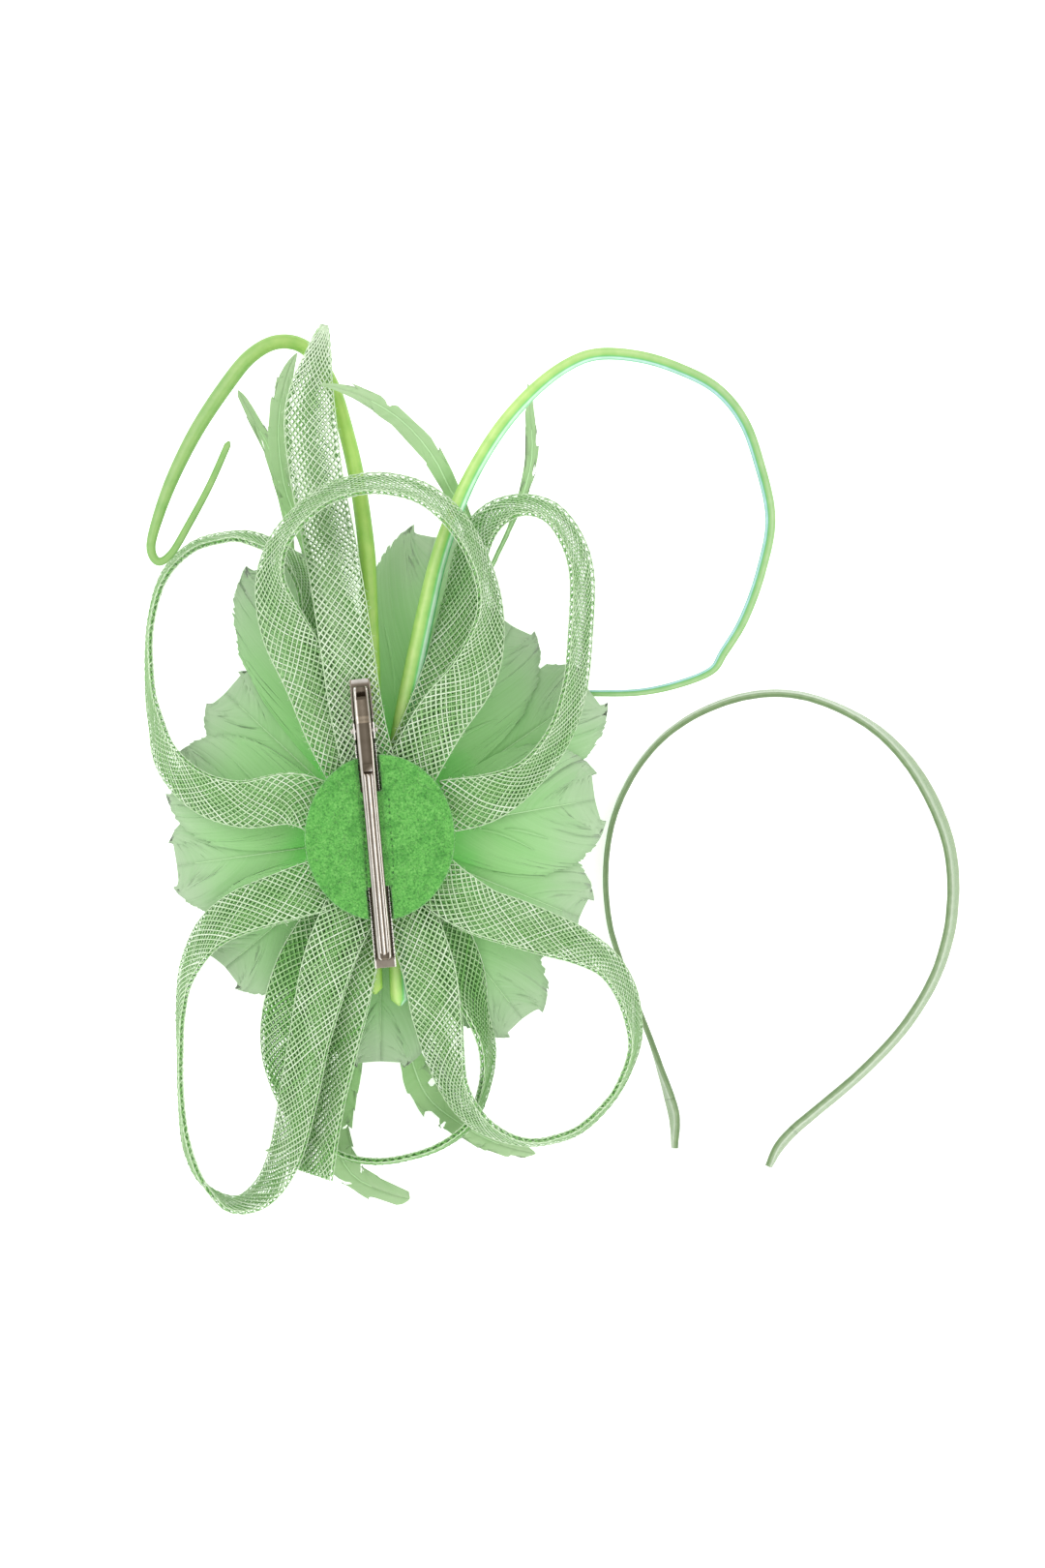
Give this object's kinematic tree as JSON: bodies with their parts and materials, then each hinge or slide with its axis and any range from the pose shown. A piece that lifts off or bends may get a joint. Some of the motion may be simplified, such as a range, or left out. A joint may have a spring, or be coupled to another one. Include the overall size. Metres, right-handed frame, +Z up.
{
  "type": "fascinator headpiece",
  "caption": "Fascinator lying face down: open-weave loops, a feather rosette and curled quills on a felt disc with a sprung lever clip, beside a loose satin headband.",
  "frame": {"origin": "centre of the bounding box's underside, on the surface the piece lies on", "axes": "+Z up out of the surface, from the worn face towards the clip; +Y from the clip's jaws towards its levers, the long way of the piece; +X towards the loose headband"},
  "size_m": [0.2534, 0.2757, 0.0559],
  "materials": {
    "felt": "pressed wool felt, bright green",
    "sinamay": "open diagonal weave, pale green",
    "quill": "stripped feather shaft, satin yellow-green",
    "feather": "soft feather vane, mint green",
    "plume": "narrow feather vane, green",
    "satin": "sage green satin",
    "band_plastic": "moulded plastic strip",
    "nickel": "polished nickel plate"
  },
  "bodies": {
    "fascinator": {"felt_base_disc": "felt", "felt_backing_disc": "felt", "front_base_disc": "felt", "braid_loop_top": "sinamay", "braid_leaf_top": "sinamay", "braid_loop_left": "sinamay", "braid_loop_right": "sinamay", "braid_loop_lower_left": "sinamay", "braid_loop_bottom": "sinamay", "braid_tail_bottom": "sinamay", "braid_loop_lower_right": "sinamay", "quill_left": "quill", "quill_right": "quill", "back_petal_top": "feather", "back_petal_top_left": "feather", "back_petal_left_upper": "feather", "back_petal_left": "feather", "back_petal_left_lower": "feather", "back_petal_lower_left": "feather", "back_petal_bottom": "feather", "back_petal_lower_right": "feather", "back_petal_right_lower": "feather", "back_petal_right": "feather", "back_petal_right_upper": "feather", "back_petal_upper_right": "feather", "front_petal_1": "feather", "front_petal_2": "feather", "front_petal_3": "feather", "front_petal_4": "feather", "front_petal_5": "feather", "front_petal_6": "feather", "plume_tall": "plume", "plume_pointed": "plume", "plume_arched": "plume", "plume_right": "plume", "plume_lower_left": "plume", "plume_bottom": "plume", "plume_lower_right": "plume", "clip_lower_jaw": "nickel", "clip_pivot_pin": "nickel"},
    "clip_lever": {"clip_upper_jaw": "nickel", "clip_spring": "nickel"},
    "headband": {"headband_core": "band_plastic", "headband_cover": "satin", "headband_tab_left": "satin", "headband_tab_right": "satin"}
  },
  "joints": [
    {"name": "clip_hinge", "type": "hinge", "parent": "fascinator", "child": "clip_lever", "pos_m": [-0.0579, 0.0115, 0.0486], "axis": [-0.9959, -0.0906, 0], "range_deg": [0, 24], "stiffness_Nm_per_rad": 0.1, "springref_deg": -34.38},
    {"name": "headband_lift_away", "type": "slide", "parent": "fascinator", "child": "headband", "axis": [1, 0, 0], "range_m": [0, 0.1]}
  ]
}
